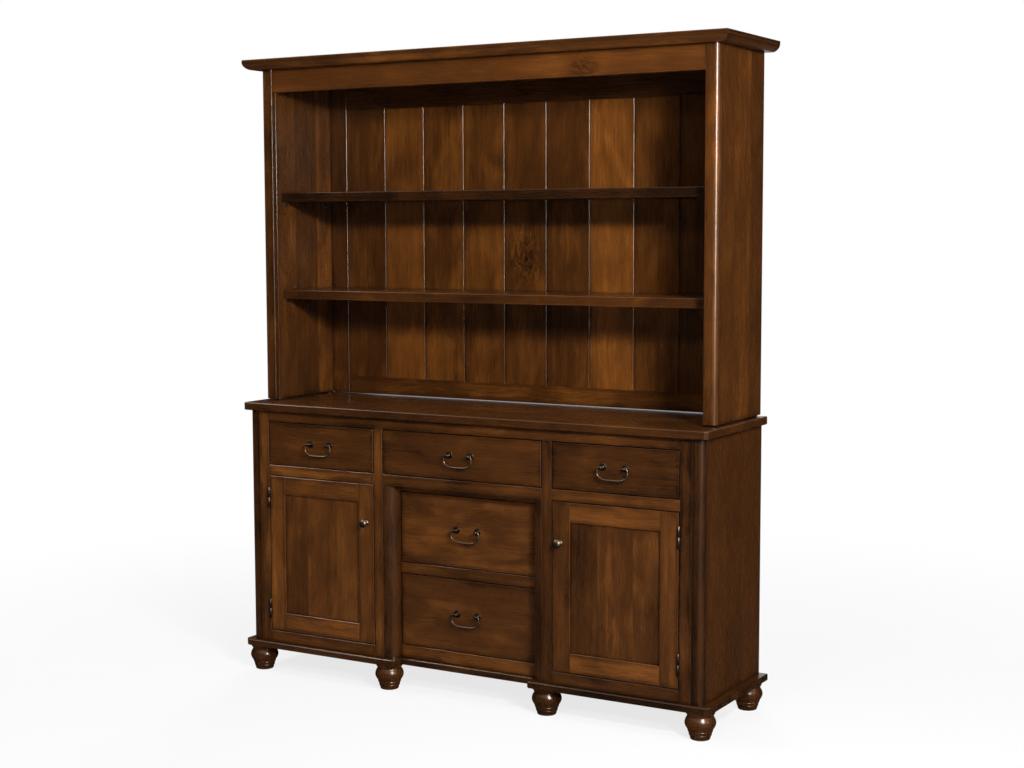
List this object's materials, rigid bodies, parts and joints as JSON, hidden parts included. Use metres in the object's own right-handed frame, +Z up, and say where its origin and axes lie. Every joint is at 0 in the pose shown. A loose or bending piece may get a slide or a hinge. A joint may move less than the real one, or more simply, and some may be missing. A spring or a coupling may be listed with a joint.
{
  "type": "dresser with hutch",
  "caption": "Breakfront dresser base with panelled doors, drawers on swinging bail pulls and turned bun feet, carrying an open hutch with shelves, a boarded back and a coved crown.",
  "frame": {"origin": "on the floor under the middle of the whole piece's bounding box", "axes": "+Z up, +Y towards the wall behind, +X to the right of someone facing the front"},
  "size_m": [1.732, 0.462, 2.034],
  "materials": {
    "stained_wood": "dark brown stain under semi-gloss lacquer",
    "frieze_wood": "brown stain under semi-gloss lacquer",
    "inner_wood": "clear sealed",
    "dark_metal": "dark bronzed, satin",
    "plated_steel": "plated"
  },
  "bodies": {
    "case": {"back_boards": "stained_wood", "back_frame": "stained_wood", "base_back": "stained_wood", "base_bottom": "stained_wood", "base_post_left": "stained_wood", "base_post_right": "stained_wood", "base_side_left": "stained_wood", "base_side_right": "stained_wood", "crown_moulding": "stained_wood", "cupboard_shelves": "stained_wood", "drawer_runners": "inner_wood", "dust_panels": "stained_wood", "face_rails": "stained_wood", "face_stiles": "stained_wood", "feet": "stained_wood", "hinge_case_leaves": "dark_metal", "hutch_frieze": "frieze_wood", "hutch_pads": "stained_wood", "hutch_post_left": "stained_wood", "hutch_post_right": "stained_wood", "hutch_shelf_lower": "stained_wood", "hutch_shelf_upper": "stained_wood", "hutch_side_left": "stained_wood", "hutch_side_right": "stained_wood", "hutch_top": "stained_wood", "partitions": "stained_wood", "plinth": "stained_wood", "return_post_left": "stained_wood", "return_post_right": "stained_wood", "shelf_cleats": "stained_wood", "shelf_clips": "plated_steel", "tabletop": "stained_wood"},
    "drawer_left": {"drawer_left_front": "stained_wood", "drawer_left_box": "inner_wood", "drawer_left_pull_posts": "dark_metal"},
    "bail_left": {"drawer_left_bail": "dark_metal"},
    "drawer_centre": {"drawer_centre_front": "stained_wood", "drawer_centre_box": "inner_wood", "drawer_centre_pull_posts": "dark_metal"},
    "bail_centre": {"drawer_centre_bail": "dark_metal"},
    "drawer_right": {"drawer_right_front": "stained_wood", "drawer_right_box": "inner_wood", "drawer_right_pull_posts": "dark_metal"},
    "bail_right": {"drawer_right_bail": "dark_metal"},
    "drawer_upper_deep": {"drawer_upper_deep_front": "stained_wood", "drawer_upper_deep_box": "inner_wood", "drawer_upper_deep_pull_posts": "dark_metal"},
    "bail_upper_deep": {"drawer_upper_deep_bail": "dark_metal"},
    "drawer_lower_deep": {"drawer_lower_deep_front": "stained_wood", "drawer_lower_deep_box": "inner_wood", "drawer_lower_deep_pull_posts": "dark_metal"},
    "bail_lower_deep": {"drawer_lower_deep_bail": "dark_metal"},
    "door_left": {"door_left_frame": "stained_wood", "door_left_panel": "stained_wood", "door_left_hardware": "dark_metal"},
    "door_right": {"door_right_frame": "stained_wood", "door_right_panel": "stained_wood", "door_right_hardware": "dark_metal"}
  },
  "joints": [
    {"name": "drawer_left_slide", "type": "slide", "parent": "case", "child": "drawer_left", "axis": [0, -1, 0], "range_m": [0, 0.29]},
    {"name": "bail_left_swing", "type": "hinge", "parent": "drawer_left", "child": "bail_left", "pos_m": [-0.535, -0.217, 0.7795], "axis": [-1, 0, 0], "range_deg": [-15, 150]},
    {"name": "drawer_centre_slide", "type": "slide", "parent": "case", "child": "drawer_centre", "axis": [0, -1, 0], "range_m": [0, 0.29]},
    {"name": "bail_centre_swing", "type": "hinge", "parent": "drawer_centre", "child": "bail_centre", "pos_m": [0, -0.217, 0.7795], "axis": [-1, 0, 0], "range_deg": [-15, 150]},
    {"name": "drawer_right_slide", "type": "slide", "parent": "case", "child": "drawer_right", "axis": [0, -1, 0], "range_m": [0, 0.29]},
    {"name": "bail_right_swing", "type": "hinge", "parent": "drawer_right", "child": "bail_right", "pos_m": [0.535, -0.217, 0.7795], "axis": [-1, 0, 0], "range_deg": [-15, 150]},
    {"name": "drawer_upper_deep_slide", "type": "slide", "parent": "case", "child": "drawer_upper_deep", "axis": [0, -1, 0], "range_m": [0, 0.26]},
    {"name": "bail_upper_deep_swing", "type": "hinge", "parent": "drawer_upper_deep", "child": "bail_upper_deep", "pos_m": [0, -0.175, 0.537], "axis": [-1, 0, 0], "range_deg": [-15, 150]},
    {"name": "drawer_lower_deep_slide", "type": "slide", "parent": "case", "child": "drawer_lower_deep", "axis": [0, -1, 0], "range_m": [0, 0.26]},
    {"name": "bail_lower_deep_swing", "type": "hinge", "parent": "drawer_lower_deep", "child": "bail_lower_deep", "pos_m": [0, -0.175, 0.2695], "axis": [-1, 0, 0], "range_deg": [-15, 150]},
    {"name": "door_left_hinge", "type": "hinge", "parent": "case", "child": "door_left", "pos_m": [-0.745, -0.2072, 0.405], "axis": [0, 0, -1], "range_deg": [0, 170]},
    {"name": "door_right_hinge", "type": "hinge", "parent": "case", "child": "door_right", "pos_m": [0.745, -0.2072, 0.405], "axis": [0, 0, 1], "range_deg": [0, 170]}
  ]
}
